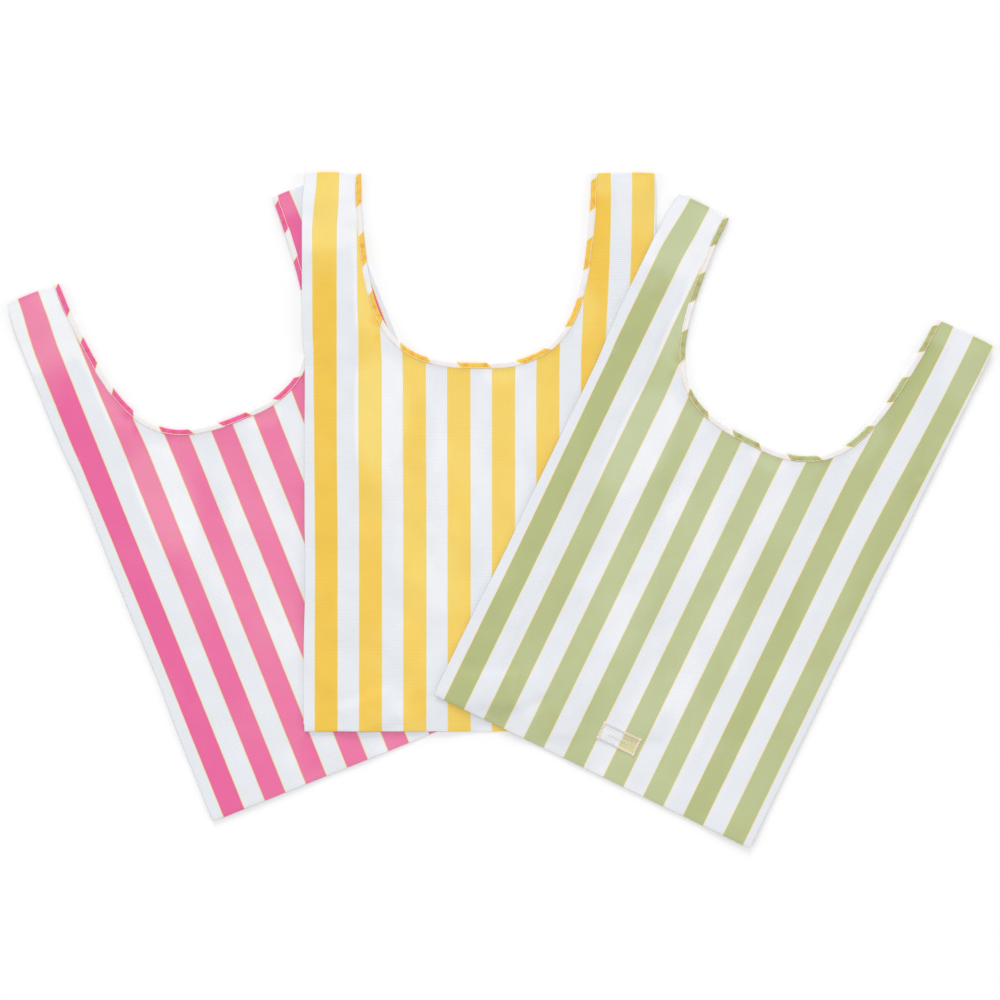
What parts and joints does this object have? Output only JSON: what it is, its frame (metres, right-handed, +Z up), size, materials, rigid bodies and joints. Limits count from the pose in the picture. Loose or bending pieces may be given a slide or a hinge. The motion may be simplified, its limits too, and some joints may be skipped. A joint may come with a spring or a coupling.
{
  "type": "set of folded-flat carrier bags",
  "caption": "Fanned set of striped vest-cut carrier bags of thin woven cloth, lying flat, with handles that fold over and a mouth that opens.",
  "frame": {"origin": "middle of the set's footprint, on the surface that the bags lie on", "axes": "+X along the fan from the pink bag to the green one, +Y from the bags' bottom edges to their handles (the yellow bag lies square to it), +Z up from the surface"},
  "size_m": [1.1146, 0.7622, 0.0045],
  "materials": {
    "pink_cloth": "satin",
    "yellow_cloth": "satin",
    "green_cloth": "satin",
    "label_cloth": "satin"
  },
  "bodies": {
    "pink_bag": {"pink_back_panel": "pink_cloth", "pink_front_panel": "pink_cloth", "pink_back_neck_binding": "pink_cloth", "pink_front_neck_binding": "pink_cloth", "pink_bottom_seam": "pink_cloth", "pink_label": "label_cloth", "pink_left_gusset": "pink_cloth", "pink_right_gusset": "pink_cloth", "pink_right_back_strap": "pink_cloth", "pink_right_front_strap": "pink_cloth", "pink_right_strap_gusset": "pink_cloth", "pink_right_strap_binding": "pink_cloth", "pink_right_top_seam": "pink_cloth"},
    "pink_left_handle": {"pink_left_back_strap": "pink_cloth", "pink_left_front_strap": "pink_cloth", "pink_left_strap_gusset": "pink_cloth", "pink_left_strap_binding": "pink_cloth", "pink_left_top_seam": "pink_cloth"},
    "yellow_bag": {"yellow_back_panel": "yellow_cloth", "yellow_front_panel": "yellow_cloth", "yellow_back_neck_binding": "yellow_cloth", "yellow_front_neck_binding": "yellow_cloth", "yellow_bottom_seam": "yellow_cloth", "yellow_label": "label_cloth", "yellow_left_gusset": "yellow_cloth", "yellow_right_gusset": "yellow_cloth", "yellow_right_back_strap": "yellow_cloth", "yellow_right_front_strap": "yellow_cloth", "yellow_right_strap_gusset": "yellow_cloth", "yellow_right_strap_binding": "yellow_cloth", "yellow_right_top_seam": "yellow_cloth"},
    "yellow_left_handle": {"yellow_left_back_strap": "yellow_cloth", "yellow_left_front_strap": "yellow_cloth", "yellow_left_strap_gusset": "yellow_cloth", "yellow_left_strap_binding": "yellow_cloth", "yellow_left_top_seam": "yellow_cloth"},
    "green_bag": {"green_back_panel": "green_cloth", "green_back_neck_binding": "green_cloth", "green_bottom_seam": "green_cloth", "green_left_gusset": "green_cloth", "green_right_gusset": "green_cloth"},
    "green_front": {"green_front_panel": "green_cloth", "green_front_neck_binding": "green_cloth", "green_label": "label_cloth"},
    "green_left_handle": {"green_left_back_strap": "green_cloth", "green_left_front_strap": "green_cloth", "green_left_strap_gusset": "green_cloth", "green_left_strap_binding": "green_cloth", "green_left_top_seam": "green_cloth"},
    "green_right_handle": {"green_right_back_strap": "green_cloth", "green_right_front_strap": "green_cloth", "green_right_strap_gusset": "green_cloth", "green_right_strap_binding": "green_cloth", "green_right_top_seam": "green_cloth"}
  },
  "joints": [
    {"name": "pink_left_handle_fold", "type": "hinge", "parent": "pink_bag", "child": "pink_left_handle", "pos_m": [-0.51551, 0.12985, 0.0015], "axis": [0.9278, 0.373, 0], "range_deg": [0, 165]},
    {"name": "yellow_bag_lift", "type": "slide", "parent": "pink_bag", "child": "yellow_bag", "axis": [0, 0, 1], "range_m": [0, 0.1]},
    {"name": "yellow_left_handle_fold", "type": "hinge", "parent": "yellow_bag", "child": "yellow_left_handle", "pos_m": [-0.22004, 0.26856, 0.003], "axis": [1, 0, 0], "range_deg": [0, 165]},
    {"name": "green_bag_lift", "type": "slide", "parent": "yellow_bag", "child": "green_bag", "axis": [0, 0, 1], "range_m": [0, 0.1]},
    {"name": "green_mouth", "type": "hinge", "parent": "green_bag", "child": "green_front", "pos_m": [-0.07007, -0.20106, 0.0042], "axis": [0.8992, -0.4376, 0], "range_deg": [0, 8]},
    {"name": "green_left_handle_fold", "type": "hinge", "parent": "green_bag", "child": "green_left_handle", "pos_m": [0.1531, 0.25752, 0.0045], "axis": [0.8992, -0.4376, 0], "range_deg": [0, 165]},
    {"name": "green_right_handle_fold", "type": "hinge", "parent": "green_bag", "child": "green_right_handle", "pos_m": [0.50827, 0.08468, 0.0045], "axis": [0.8992, -0.4376, 0], "range_deg": [0, 165]}
  ]
}
